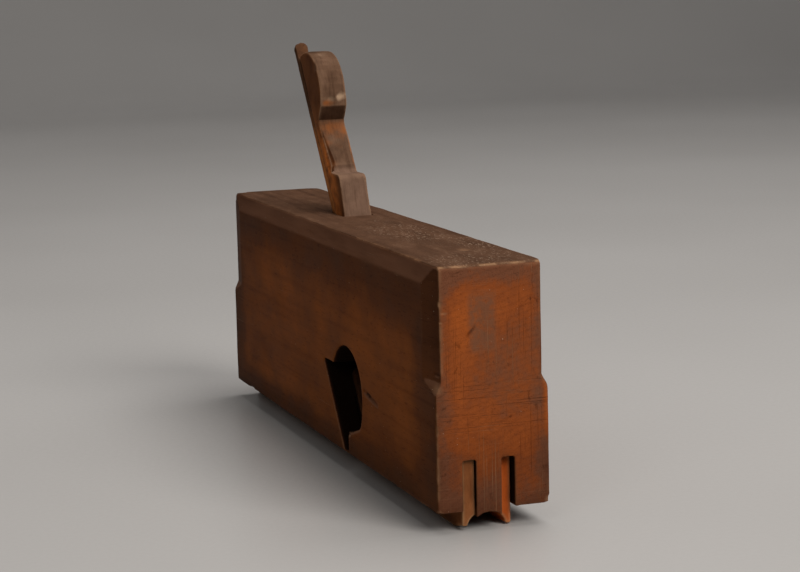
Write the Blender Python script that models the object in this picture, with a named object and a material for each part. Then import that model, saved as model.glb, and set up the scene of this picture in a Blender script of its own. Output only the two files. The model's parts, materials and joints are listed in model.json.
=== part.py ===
"""Wooden centre-bead moulding plane: stock, wedge, tanged iron and boxwood slips.

Metres, +Z up. The toe points to -Y, the heel to +Y and the blind side to +X.
The origin is under the middle of the stock, on the surface that it stands on.
"""

from math import asin, cos, degrees, hypot, pi, radians, sin, sqrt, tan

import bmesh
import bpy

# Stock
LENGTH = 0.2413
WIDTH = 0.0387
STOCK_DEPTH = 0.0794        # from the flats of the sole to the top
RIDGE_DEPTH = 0.0068        # how far the profiled ridge stands below the flats
RIDGE_WIDTH = 0.0177
RIDGE_X = -0.0017           # centre of the ridge, off the centre of the stock
BEAD_RADIUS = 0.0070
BEAD_DEPTH = 0.0060
GAP = 0.0003                # between two pieces that touch
SLIP_WIDTH = 0.0039
SLIP_HEIGHT_IN_SLOT = 0.0164

# Mouth, bed and side escapement
BED_ANGLE = radians(53.5)
BED_FROM_TOE = 0.0953       # where the bed meets the flats
MOUTH_OPENING = 0.00054     # along the sole, ahead of the iron
MOUTH_WALL_HEIGHT = 0.0081  # of the upright front wall, above the flats
MOUTH_WALL_BACK = 0.0005    # how far that wall stands behind the front of the mouth
LEDGE_HEIGHT = 0.0305       # roof of the blade's slot, above the flats
LEDGE_RUN = 0.0139
ESCAPEMENT_RADIUS = 0.0173
ESCAPEMENT_INNER_RADIUS = 0.0125
ESCAPEMENT_AHEAD = 0.0035   # its centre, ahead of the foot of the bed
ESCAPEMENT_HEIGHT = 0.0218  # its centre, above the flats
ESCAPEMENT_FLOOR_SLOPE = 0.24

# Mortise, iron and wedge
MORTISE_LEFT = -0.0033
MORTISE_WIDTH = 0.0115
THROAT_SLACK = 0.00075      # in front of and behind the iron, where it leaves the mortise
IRON_THICKNESS = 0.0028
IRON_BEVEL = radians(30)
EDGE_SETBACK = 0.0002       # the cutting edge rests this far inside the sole
SHOULDER_BELOW_LEDGE = 0.0033   # height left for the iron to be pushed up
SHOULDER_RADIUS = 0.0020
TANG_SLACK = 0.0017         # between the root of the tang and the right of the mortise
TANG_TIP_HEIGHT = 0.0630    # above the top of the stock
TANG_TIP_WIDTH = 0.0049
WEDGE_FRONT_ANGLE = radians(69)
WEDGE_DEPTH = 0.0112        # along the stock, at its top
WEDGE_TIP = 0.0009
HEAD_RADIUS = 0.0183
HEAD_HEIGHT = 0.04155       # centre of the round head, above the stock
HEAD_BEHIND = 0.0025        # the same centre, behind the wedge's back face
HEAD_ARC_END = 186          # degrees round from the heel side
NECK_TOP = (0.0336, 0.0062)     # height above the stock, thickness along it
NECK_FOOT = (0.0180, 0.0076)
SHELF_HEIGHT = 0.0150
SHELF_ROUNDING = 0.0030
COVE_RADIUS = 0.0025
COVE_START = -20            # degrees, where the cove leaves the neck

# Worn and cut-back edges of the stock
END_CHAMFER_ALONG = 0.0120
LEFT_CHAMFER_ACROSS = 0.0018
RIGHT_CHAMFER_ACROSS = 0.0023
CHAMFER_STOP = 0.0385       # outer end of the stop, above the flats
CHAMFER_STOP_RISE = 0.0038
TOP_CHAMFER_ACROSS = 0.0015
TOP_CHAMFER_DOWN = 0.0068
END_EDGE_ACROSS = 0.0014
END_EDGE_DOWN = 0.0010

# Boxwood slips: how far each row stops short of the toe, and the joints
LEFT_SETBACK = 0.0017
RIGHT_SETBACK = 0.0039
SLIPS_AHEAD = 2
SLIPS_BEHIND = 3
SLIP_JOINT_ANGLE = radians(62)

FACETS = 40                 # of a full circle
SHARP_ANGLE = radians(25)   # shading stays crisp over edges above this
BEYOND = 0.006              # how far a cutter runs past what it cuts

HEIGHT = RIDGE_DEPTH + STOCK_DEPTH
TOE = -LENGTH / 2
HEEL = LENGTH / 2
SIDE = WIDTH / 2
SLOT_WIDTH = SLIP_WIDTH + 2 * GAP
SLOT_TOP = RIDGE_DEPTH + SLIP_HEIGHT_IN_SLOT + GAP
RIDGE_LEFT = RIDGE_X - RIDGE_WIDTH / 2
RIDGE_RIGHT = RIDGE_X + RIDGE_WIDTH / 2
BEAD_Z = BEAD_DEPTH - BEAD_RADIUS
MORTISE_RIGHT = MORTISE_LEFT + MORTISE_WIDTH
BED_FOOT = TOE + BED_FROM_TOE
MOUTH = (GAP + IRON_THICKNESS) / sin(BED_ANGLE) + MOUTH_OPENING
MOUTH_WALL = BED_FOOT - MOUTH + MOUTH_WALL_BACK


def bed_y(z, forward=0.0):
    """Where the bed, or a plane this far in front of its face, is at a height."""
    return BED_FOOT + (z - RIDGE_DEPTH) / tan(BED_ANGLE) - forward / sin(BED_ANGLE)


def wedge_back_y(z):
    return bed_y(z, IRON_THICKNESS + 2 * GAP)


def wedge_front_y(z, forward=0.0):
    at_top = wedge_back_y(HEIGHT) - WEDGE_DEPTH
    return at_top + (z - HEIGHT) / tan(WEDGE_FRONT_ANGLE) - forward / sin(WEDGE_FRONT_ANGLE)


def sole_z(x):
    """Height of the sole's profile across the ridge."""
    away = abs(x - RIDGE_X)
    if away >= BEAD_RADIUS:
        return 0.0
    return max(0.0, BEAD_Z + sqrt(BEAD_RADIUS**2 - away**2))


def bead_points(x_from, x_to):
    """Points of the bead's hollow between two places, both ends included."""
    start = asin(max(-1.0, min(1.0, (x_from - RIDGE_X) / BEAD_RADIUS)))
    end = asin(max(-1.0, min(1.0, (x_to - RIDGE_X) / BEAD_RADIUS)))
    steps = max(2, round(abs(end - start) / (2 * pi / FACETS)))
    turns = [start + (end - start) * i / steps for i in range(steps + 1)]
    return [(RIDGE_X + BEAD_RADIUS * sin(a), BEAD_Z + BEAD_RADIUS * cos(a)) for a in turns]


def arc(centre, radius, start, end):
    """Points round an arc, angles in degrees."""
    steps = max(2, round(abs(end - start) / 360 * FACETS))
    turns = [radians(start + (end - start) * i / steps) for i in range(steps + 1)]
    return [(centre[0] + radius * cos(a), centre[1] + radius * sin(a)) for a in turns]


def material(name, colour, roughness, metallic=0.0):
    made = bpy.data.materials.new(name)
    made.use_nodes = True
    shader = made.node_tree.nodes["Principled BSDF"]
    shader.inputs["Base Color"].default_value = (*colour, 1.0)
    shader.inputs["Roughness"].default_value = roughness
    shader.inputs["Metallic"].default_value = metallic
    made.diffuse_color = (*colour, 1.0)
    return made


def loft(name, first, second, look=None):
    """A closed body between two outlines with the same number of points; a cutter has no look."""
    shape = bmesh.new()
    loops = [[shape.verts.new(point) for point in outline] for outline in (first, second)]
    shape.faces.new(loops[0])
    shape.faces.new(reversed(loops[1]))
    count = len(first)
    for i in range(count):
        j = (i + 1) % count
        shape.faces.new((loops[0][i], loops[1][i], loops[1][j], loops[0][j]))
    bmesh.ops.recalc_face_normals(shape, faces=shape.faces)
    mesh = bpy.data.meshes.new(name)
    shape.to_mesh(mesh)
    shape.free()
    made = bpy.data.objects.new(name, mesh)
    bpy.context.scene.collection.objects.link(made)
    if look:
        mesh.materials.append(look)
        mesh.shade_smooth()
        mesh.set_sharp_from_angle(angle=SHARP_ANGLE)
    return made


def across(name, outline, left, right, look=None):
    """A prism across the stock from a (y, z) outline."""
    first = [(left, y, z) for y, z in outline]
    second = [(right, y, z) for y, z in outline]
    return loft(name, first, second, look)


def cutter(made):
    made.hide_render = True
    made.display_type = "WIRE"
    return made


def cut(body, tool):
    modifier = body.modifiers.new(tool.name, "BOOLEAN")
    modifier.operation = "DIFFERENCE"
    modifier.solver = "EXACT"
    modifier.object = tool


def mouth_cutter():
    """The blade's slot: open to the left side, closed on the blind side, and out through the sole."""
    low = -BEYOND
    roof = RIDGE_DEPTH + LEDGE_HEIGHT
    wall_foot = RIDGE_DEPTH + MOUTH_WALL_BACK * tan(BED_ANGLE)
    outline = [
        (bed_y(low), low),
        (bed_y(roof), roof),
        (bed_y(roof) - LEDGE_RUN, roof),
        (MOUTH_WALL, RIDGE_DEPTH + MOUTH_WALL_HEIGHT),
        (MOUTH_WALL, wall_foot),
        (bed_y(low) - MOUTH, low),
    ]
    return cutter(across("mouth_cut", outline, -SIDE - BEYOND, RIDGE_RIGHT))


def escapement_outline(x, radius):
    """One section of the conical escapement, kept in front of the bed and above its floor."""
    centre_y = BED_FOOT - ESCAPEMENT_AHEAD
    points = []
    for y, z in arc((centre_y, RIDGE_DEPTH + ESCAPEMENT_HEIGHT), radius, 0, 360)[:-1]:
        floor = RIDGE_DEPTH + MOUTH_WALL_HEIGHT + max(0.0, MOUTH_WALL - y) * ESCAPEMENT_FLOOR_SLOPE
        z = max(z, floor)
        points.append((x, min(y, bed_y(z, GAP)), z))
    return points


def escapement_cutter():
    run = WIDTH / 2 + MORTISE_RIGHT
    growth = (ESCAPEMENT_RADIUS - ESCAPEMENT_INNER_RADIUS) / run * BEYOND
    outer = escapement_outline(-SIDE - BEYOND, ESCAPEMENT_RADIUS + growth)
    inner = escapement_outline(MORTISE_RIGHT, ESCAPEMENT_INNER_RADIUS)
    return cutter(loft("escapement_cut", outer, inner))


def mortise_cutter():
    """Tapers down to the iron's own thickness, then runs parallel to the bed into the slot."""
    high = HEIGHT + BEYOND
    low = RIDGE_DEPTH + LEDGE_HEIGHT - BEYOND / 2
    throat = IRON_THICKNESS + THROAT_SLACK
    spread = wedge_front_y(HEIGHT, GAP) - bed_y(HEIGHT, throat)
    narrow = HEIGHT - spread / (1 / tan(WEDGE_FRONT_ANGLE) - 1 / tan(BED_ANGLE))
    outline = [
        (bed_y(high), high),
        (wedge_front_y(high, GAP), high),
        (bed_y(narrow, throat), narrow),
        (bed_y(low, throat), low),
        (bed_y(low), low),
    ]
    return cutter(across("mortise_cut", outline, MORTISE_LEFT, MORTISE_RIGHT))


def end_chamfer_cutter(name, side, end, width):
    """Takes an upright corner off above a sloping stop."""
    edge = hypot(END_CHAMFER_ALONG, width)
    along = (-side * width / edge, end * END_CHAMFER_ALONG / edge)
    out = (side * END_CHAMFER_ALONG / edge, end * width / edge)
    middle = (side * (SIDE - width / 2), end * (LENGTH / 2 - END_CHAMFER_ALONG / 2))
    depth = END_CHAMFER_ALONG * width / edge
    stop = RIDGE_DEPTH + CHAMFER_STOP + CHAMFER_STOP_RISE
    section = [
        (0.0, stop),
        (0.0, HEIGHT + BEYOND),
        (BEYOND, HEIGHT + BEYOND),
        (BEYOND, stop - CHAMFER_STOP_RISE * BEYOND / depth),
    ]
    sides = []
    for reach in (-2 * END_CHAMFER_ALONG, 2 * END_CHAMFER_ALONG):
        sides.append([
            (middle[0] + along[0] * reach + out[0] * n, middle[1] + along[1] * reach + out[1] * n, z)
            for n, z in section
        ])
    return cutter(loft(name, *sides))


def top_chamfer_cutter(name, side):
    slope = TOP_CHAMFER_DOWN / TOP_CHAMFER_ACROSS
    section = [
        (side * (SIDE + BEYOND / slope), HEIGHT - TOP_CHAMFER_DOWN - BEYOND),
        (side * (SIDE - TOP_CHAMFER_ACROSS - BEYOND / slope), HEIGHT + BEYOND),
        (side * (SIDE + BEYOND), HEIGHT + BEYOND),
        (side * (SIDE + BEYOND), HEIGHT - TOP_CHAMFER_DOWN - BEYOND),
    ]
    ends = [[(x, y, z) for x, z in section] for y in (TOE - BEYOND, HEEL + BEYOND)]
    return cutter(loft(name, *ends))


def end_edge_cutter(name, end):
    slope = END_EDGE_DOWN / END_EDGE_ACROSS
    outline = [
        (end * (LENGTH / 2 - END_EDGE_ACROSS - BEYOND), HEIGHT + BEYOND * slope),
        (end * (LENGTH / 2 + BEYOND), HEIGHT - END_EDGE_DOWN - BEYOND * slope),
        (end * (LENGTH / 2 + BEYOND), HEIGHT + BEYOND),
    ]
    return cutter(across(name, outline, -SIDE - BEYOND, SIDE + BEYOND))


def stock_section():
    """The stock's (x, z) section: two flats, two slots for the slips and the web of the ridge."""
    web_left = RIDGE_LEFT + SLOT_WIDTH
    web_right = RIDGE_RIGHT - SLOT_WIDTH
    return [
        (-SIDE, RIDGE_DEPTH),
        (RIDGE_LEFT, RIDGE_DEPTH),
        (RIDGE_LEFT, SLOT_TOP),
        (web_left, SLOT_TOP),
        *bead_points(web_left, web_right),
        (web_right, SLOT_TOP),
        (RIDGE_RIGHT, SLOT_TOP),
        (RIDGE_RIGHT, RIDGE_DEPTH),
        (SIDE, RIDGE_DEPTH),
        (SIDE, HEIGHT),
        (-SIDE, HEIGHT),
    ]


def build_stock(look, throat_cutters):
    ends = [[(x, y, z) for x, z in stock_section()] for y in (TOE, HEEL)]
    stock = loft("stock", *ends, look)
    for tool in throat_cutters:
        cut(stock, tool)
    cut(stock, mortise_cutter())
    for side, word, width in ((-1, "left", LEFT_CHAMFER_ACROSS), (1, "right", RIGHT_CHAMFER_ACROSS)):
        cut(stock, top_chamfer_cutter(word + "_top_cut", side))
        for end, name in ((-1, "toe"), (1, "heel")):
            cut(stock, end_chamfer_cutter(f"{word}_{name}_cut", side, end, width))
    cut(stock, end_edge_cutter("toe_edge_cut", -1))
    cut(stock, end_edge_cutter("heel_edge_cut", 1))


def slip_section(side):
    """One slip's (x, z) section: its foot carries the quirk and an edge of the bead."""
    outer = RIDGE_X + side * (RIDGE_WIDTH / 2 - GAP)
    inner = outer - side * SLIP_WIDTH
    bead_edge = RIDGE_X + side * sqrt(BEAD_RADIUS**2 - BEAD_Z**2)
    return [
        (outer, 0.0),
        *bead_points(bead_edge, inner),
        (inner, SLOT_TOP - GAP),
        (outer, SLOT_TOP - GAP),
    ]


def slip(name, side, start, end, look):
    """A slip between two ends, each a function that gives y at a height."""
    section = slip_section(side)
    ends = [[(x, place(z), z) for x, z in section] for place in (start, end)]
    return loft(name, *ends, look)


def slip_joint(y, shift):
    """A slanting joint through y at mid height, moved along by half the gap."""
    return lambda z: y + shift + (z - SLOT_TOP / 2) / tan(SLIP_JOINT_ANGLE)


def slip_row(side, word, setback, look, throat_cutters):
    toe = TOE + setback
    mouth_middle = BED_FOOT - MOUTH / 2
    ahead = (mouth_middle - toe) / SLIPS_AHEAD
    behind = (HEEL - BED_FOOT) / SLIPS_BEHIND
    for i in range(SLIPS_AHEAD):
        start = slip_joint(toe + i * ahead, GAP / 2) if i else lambda z: toe
        last = i == SLIPS_AHEAD - 1
        end = (lambda z: bed_y(z) - MOUTH / 2) if last else slip_joint(toe + (i + 1) * ahead, -GAP / 2)
        made = slip(f"boxing_{word}_toe_{i + 1}", side, start, end, look)
        if last:
            for tool in throat_cutters:
                cut(made, tool)
    for i in range(SLIPS_BEHIND):
        start = slip_joint(BED_FOOT + i * behind, GAP / 2) if i else bed_y
        last = i == SLIPS_BEHIND - 1
        end = (lambda z: HEEL) if last else slip_joint(BED_FOOT + (i + 1) * behind, -GAP / 2)
        slip(f"boxing_{word}_heel_{i + 1}", side, start, end, look)


def on_iron(x, along, forward):
    """A point on the iron: across, up the bed from the height of the sole's foot, off the bed."""
    y = bed_y(0.0) + along * cos(BED_ANGLE) - forward * sin(BED_ANGLE)
    return (x, y, along * sin(BED_ANGLE) + forward * cos(BED_ANGLE))


def build_iron(look):
    """The blade is as wide as the ridge, and its tang runs up the left wall of the mortise."""
    back = GAP
    front = GAP + IRON_THICKNESS
    grind = IRON_THICKNESS / tan(IRON_BEVEL)
    left = RIDGE_LEFT + GAP
    right = RIDGE_RIGHT - GAP
    tang_left = MORTISE_LEFT + GAP
    tang_right = min(right, MORTISE_RIGHT - GAP - TANG_SLACK)
    shoulder_z = RIDGE_DEPTH + LEDGE_HEIGHT - SHOULDER_BELOW_LEDGE
    shoulder = (shoulder_z - front * cos(BED_ANGLE)) / sin(BED_ANGLE)
    tip_radius = TANG_TIP_WIDTH / 2
    tip = (HEIGHT + TANG_TIP_HEIGHT - front * cos(BED_ANGLE)) / sin(BED_ANGLE)
    bead_half = sqrt(BEAD_RADIUS**2 - BEAD_Z**2)
    profile = [(left, 0.0), *bead_points(RIDGE_X - bead_half, RIDGE_X + bead_half), (right, 0.0)]
    edge = [(x, (sole_z(x) + EDGE_SETBACK - front * cos(BED_ANGLE)) / sin(BED_ANGLE)) for x, _ in profile]
    root = [(tang_right, shoulder)] if tang_right < right else []
    outline = [
        (right, shoulder),
        *root,
        *arc((tang_left + tip_radius, tip - tip_radius), tip_radius, 0, 180),
        *arc((tang_left - SHOULDER_RADIUS, shoulder + SHOULDER_RADIUS), SHOULDER_RADIUS, 0, -90),
        *arc((left + SHOULDER_RADIUS, shoulder - SHOULDER_RADIUS), SHOULDER_RADIUS, 90, 180),
    ]
    front_face = [on_iron(x, s, front) for x, s in edge + outline]
    back_face = [on_iron(x, s + grind, back) for x, s in edge]
    back_face += [on_iron(x, s, back) for x, s in outline]
    loft("iron", front_face, back_face, look)


def wedge_point(height, thickness):
    z = HEIGHT + height
    return (wedge_back_y(z) - thickness, z)


def wedge_outline():
    """The wedge's (y, z) outline: a long taper, a shelf, a slim neck and a round head."""
    slope = 1 / tan(BED_ANGLE) - 1 / tan(WEDGE_FRONT_ANGLE)
    tip_z = HEIGHT - (WEDGE_DEPTH - WEDGE_TIP) / slope
    head = wedge_point(HEAD_HEIGHT, -HEAD_BEHIND)
    # The head's arc starts on the back face and ends a little below its centre.
    reach = HEAD_BEHIND * sin(BED_ANGLE) / HEAD_RADIUS
    end_angle = degrees(BED_ANGLE + asin(reach))
    shelf_z = HEIGHT + SHELF_HEIGHT
    # The rounding's centre, one radius behind the front face and below the shelf.
    rounding = (wedge_front_y(shelf_z - SHELF_ROUNDING, -SHELF_ROUNDING), shelf_z - SHELF_ROUNDING)
    neck_foot = wedge_point(*NECK_FOOT)
    lean = degrees(WEDGE_FRONT_ANGLE)
    return [
        (wedge_back_y(tip_z), tip_z),
        *arc(head, HEAD_RADIUS, end_angle, HEAD_ARC_END),
        wedge_point(*NECK_TOP),
        neck_foot,
        *arc((neck_foot[0] - COVE_RADIUS, shelf_z + COVE_RADIUS), COVE_RADIUS, COVE_START, -90),
        *arc(rounding, SHELF_ROUNDING, 90, 90 + lean),
        (wedge_front_y(tip_z), tip_z),
    ]


def build_wedge(look):
    across("wedge", wedge_outline(), MORTISE_LEFT + GAP, MORTISE_RIGHT - GAP, look)


def main():
    for old in list(bpy.data.objects):
        bpy.data.objects.remove(old)
    beech = material("beech", (0.26, 0.12, 0.055), 0.55)
    worn_beech = material("worn_beech", (0.28, 0.17, 0.10), 0.6)
    boxwood = material("boxwood", (0.48, 0.25, 0.11), 0.45)
    rusty_steel = material("rusty_steel", (0.20, 0.13, 0.09), 0.6, 0.6)
    throat_cutters = (mouth_cutter(), escapement_cutter())
    build_stock(beech, throat_cutters)
    slip_row(-1, "left", LEFT_SETBACK, boxwood, throat_cutters)
    slip_row(1, "right", RIGHT_SETBACK, boxwood, throat_cutters)
    build_iron(rusty_steel)
    build_wedge(worn_beech)


main()
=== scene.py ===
"""Looks for the boxed centre-bead moulding plane: old beech, boxwood slips, a worn wedge and a rusty iron."""

import json
from math import cos, radians, sin

import bmesh
import bpy
import numpy as np
from mathutils import Matrix, Vector


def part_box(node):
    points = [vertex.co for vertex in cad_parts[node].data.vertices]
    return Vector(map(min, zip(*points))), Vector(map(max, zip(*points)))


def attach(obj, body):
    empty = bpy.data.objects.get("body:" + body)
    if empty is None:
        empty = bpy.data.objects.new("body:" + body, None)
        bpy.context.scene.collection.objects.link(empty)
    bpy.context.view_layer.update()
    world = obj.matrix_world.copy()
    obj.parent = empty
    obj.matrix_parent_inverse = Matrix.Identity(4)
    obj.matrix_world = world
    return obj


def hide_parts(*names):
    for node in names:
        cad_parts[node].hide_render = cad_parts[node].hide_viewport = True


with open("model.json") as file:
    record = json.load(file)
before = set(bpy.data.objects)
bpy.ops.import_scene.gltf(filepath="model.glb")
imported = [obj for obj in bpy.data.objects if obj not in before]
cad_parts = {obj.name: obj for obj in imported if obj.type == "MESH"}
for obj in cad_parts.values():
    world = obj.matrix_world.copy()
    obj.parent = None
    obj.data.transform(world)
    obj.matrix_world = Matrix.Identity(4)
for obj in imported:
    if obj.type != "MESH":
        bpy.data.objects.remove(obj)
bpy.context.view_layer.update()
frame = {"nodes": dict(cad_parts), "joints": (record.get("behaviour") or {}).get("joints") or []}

MM = 0.001

# The camera, where it stands in the frame
CAMERA_PLACE = Vector((-243.6, -728.0, 182.2)) * MM
CAMERA_YAW = radians(19.35)
CAMERA_PITCH = radians(-8.92)
CAMERA_ROLL = radians(-1.37)
CAMERA_LENS = 94.8
SENSOR = 36.0
CLIP_START = 20 * MM

# Each kind of piece: voxel size of its worn mesh, width of its eased edges, share of its faces that is kept
STOCK_VOXEL, STOCK_EASE, STOCK_KEEP = 0.50 * MM, 0.30 * MM, 0.35
WEDGE_VOXEL, WEDGE_EASE, WEDGE_KEEP = 0.36 * MM, 0.25 * MM, 0.60
IRON_VOXEL, IRON_EASE, IRON_KEEP = 0.36 * MM, 0.18 * MM, 0.50
SLIP_VOXEL, SLIP_EASE, SLIP_KEEP = 0.40 * MM, 0.15 * MM, 0.35
HIDDEN_SLIP_VOXEL = 0.60 * MM
EASED_ANGLE = radians(28)   # outer edges sharper than this are eased
FLAT_ANGLE = radians(0.5)   # faces that differ by less are joined before that
WELD_DISTANCE = 2e-6

# The ragged rims of dents and gouges: how ragged, and how many lumps per metre
DENT_ROUGHNESS, RIM_NOISE = 0.35, 700
GOUGE_ROUGHNESS, GOUGE_NOISE = 0.3, 900

# Places that the CAD boxes and joints give
STOCK_LOW, STOCK_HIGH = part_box("stock")
WEDGE_LOW, WEDGE_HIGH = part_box("wedge")
IRON_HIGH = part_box("iron")[1]
SLIP_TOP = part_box("boxing_left_toe_1")[1].z
TOE = STOCK_LOW.y
HEEL = STOCK_HIGH.y
SIDE = STOCK_HIGH.x
TOP = STOCK_HIGH.z
BED = Vector(next(j["axis"] for j in frame["joints"] if j["name"] == "iron_slide"))

# Places on the stock and the wedge that the boxes don't give
FLATS = 6.8 * MM                           # the sole's flats, above the foot of the ridge
RIDGE_X = -1.7 * MM                        # the middle of the ridge
CHAMFER = 2.0 * MM                         # how far the toe's upright chamfers reach in
CHAMFER_STOP = FLATS + 40.4 * MM
BED_FOOT = TOE + 95.3 * MM                 # where the bed meets the sole
NECK_FOOT = (34.9 * MM, TOP + 18.0 * MM)   # (y, z) of the neck's front, just above the shelf
NECK_HEAD = (47.8 * MM, TOP + 33.6 * MM)   # and under the head
WEDGE_FRONT_Y = 17.97 * MM                 # where the wedge's faces cross the top of the stock
WEDGE_BACK_Y = 29.17 * MM
WEDGE_FRONT_SLOPE = 2.605                  # tangent of the front face's angle


# ---------------------------------------------------------------- noise and mesh tools


def lattice(cell, seed):
    """A repeatable random value from 0 to 1 for each corner of an endless grid."""
    n = cell[..., 0] * 73856093 ^ cell[..., 1] * 19349663 ^ cell[..., 2] * 83492791 ^ seed * 2654435
    n = (n ^ (n >> 13)) * 1274126177 & 0x7FFFFFFF
    return ((n ^ (n >> 15)) & 0xFFFF) / 65535.0


def noise(points, per_metre, seed=0):
    """Smooth noise from -1 to 1. per_metre is how many cells there are along each axis."""
    p = points * np.asarray(per_metre, float)
    cell = np.floor(p).astype(np.int64)
    t = p - cell
    t = t * t * (3 - 2 * t)
    total = np.zeros(len(p))
    for corner in range(8):
        step = np.array([corner & 1, corner >> 1 & 1, corner >> 2])
        weight = np.prod(np.where(step, t, 1 - t), axis=1)
        total += weight * lattice(cell + step, seed)
    return total * 2 - 1


def layered(points, per_metre, seed=0, layers=3):
    """Several sizes of noise on top of each other, still about -1 to 1."""
    total = np.zeros(len(points))
    for i in range(layers):
        total += noise(points, np.asarray(per_metre, float) * 2.1**i, seed + i) / 2**i
    return total / 1.6


def smooth_step(value, low, high):
    t = np.clip((value - low) / (high - low), 0, 1)
    return t * t * (3 - 2 * t)


def fade(value, low, high):
    return 1 - smooth_step(value, low, high)


def read_points(mesh):
    points = np.empty(len(mesh.vertices) * 3, np.float32)
    mesh.vertices.foreach_get("co", points)
    return points.reshape(-1, 3).astype(float)


def read_normals(mesh):
    normals = np.empty(len(mesh.vertices) * 3, np.float32)
    mesh.vertices.foreach_get("normal", normals)
    return normals.reshape(-1, 3).astype(float)


def write_points(mesh, points):
    mesh.vertices.foreach_set("co", points.astype(np.float32).ravel())
    mesh.update()


def write_mask(mesh, name, values):
    mask = mesh.attributes.new(name, "FLOAT", "POINT")
    mask.data.foreach_set("value", np.clip(values, 0, 1).astype(np.float32))


def smoothed(mesh, points, rounds):
    """The points after they have been drawn towards their neighbours this many times."""
    edges = np.empty(len(mesh.edges) * 2, np.int32)
    mesh.edges.foreach_get("vertices", edges)
    a, b = edges.reshape(-1, 2).T
    count = len(points)
    reach = np.bincount(a, minlength=count) + np.bincount(b, minlength=count)
    for _ in range(rounds):
        total = np.empty_like(points)
        for axis in range(3):
            total[:, axis] = np.bincount(a, points[b, axis], count) + np.bincount(b, points[a, axis], count)
        points = (points + total / reach[:, None]) / 2
    return points


def apply_modifiers(piece):
    graph = bpy.context.evaluated_depsgraph_get()
    made = bpy.data.meshes.new_from_object(piece.evaluated_get(graph))
    piece.modifiers.clear()
    old = piece.data
    piece.data = made
    bpy.data.meshes.remove(old)


def even_copy(name, node, voxel, ease_width):
    """A new piece in a CAD node's shape: edges eased, and an even mesh that can be worn and dented."""
    mesh = frame["nodes"][node].data.copy()
    shape = bmesh.new()
    shape.from_mesh(mesh)
    bmesh.ops.remove_doubles(shape, verts=shape.verts, dist=WELD_DISTANCE)
    bmesh.ops.dissolve_limit(shape, angle_limit=FLAT_ANGLE, verts=shape.verts, edges=shape.edges)
    eased = shape.edges.layers.float.new("bevel_weight_edge")
    for edge in shape.edges:
        if edge.is_convex and edge.calc_face_angle(0) > EASED_ANGLE:
            edge[eased] = 1.0
    shape.to_mesh(mesh)
    shape.free()
    piece = bpy.data.objects.new(name, mesh)
    bpy.context.scene.collection.objects.link(piece)
    ease = piece.modifiers.new("ease", "BEVEL")
    ease.width = ease_width
    ease.segments = 2
    ease.limit_method = "WEIGHT"
    even = piece.modifiers.new("even", "REMESH")
    even.mode = "VOXEL"
    even.voxel_size = voxel
    apply_modifiers(piece)
    return piece


def thin_out(piece, ratio):
    thin = piece.modifiers.new("thin", "DECIMATE")
    thin.ratio = ratio
    apply_modifiers(piece)


def finish_piece(piece, body, node, look):
    piece.data.materials.clear()
    piece.data.materials.append(look)
    piece.data.shade_smooth()
    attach(piece, body)
    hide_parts(node)


def edge_mask(mesh, points, rounds, width):
    """How much each point stands on an outer edge, from 0 to 1."""
    lost = points - smoothed(mesh, points, rounds)
    return np.clip((lost * read_normals(mesh)).sum(1) / width, 0, 1)


def dent(points, centre, size, depth, into, seed):
    """How far each point sinks in one dent: an ellipsoid with a ragged rim."""
    away = np.linalg.norm((points - np.array(centre)) / np.array(size), axis=1)
    away *= 1 + DENT_ROUGHNESS * layered(points, RIM_NOISE, seed)
    sunk = depth * smooth_step(1 - away, 0, 0.8)
    return sunk, sunk[:, None] * np.array(into, float)


def gouge(points, start, end, width, depth, into, seed):
    """One scored line that fades out at both ends."""
    a, b = np.array(start, float), np.array(end, float)
    run = b - a
    t = np.clip((points - a) @ run / (run @ run), 0, 1)
    away = np.linalg.norm(points - (a + t[:, None] * run), axis=1)
    away *= 1 + GOUGE_ROUGHNESS * noise(points, GOUGE_NOISE, seed)
    taper = 0.45 + 0.55 * np.sin(np.pi * np.clip(t, 0.05, 0.95))
    sunk = depth * taper * smooth_step(1 - away / width, 0, 0.9)
    return sunk, sunk[:, None] * np.array(into, float)


# ---------------------------------------------------------------- materials


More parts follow.
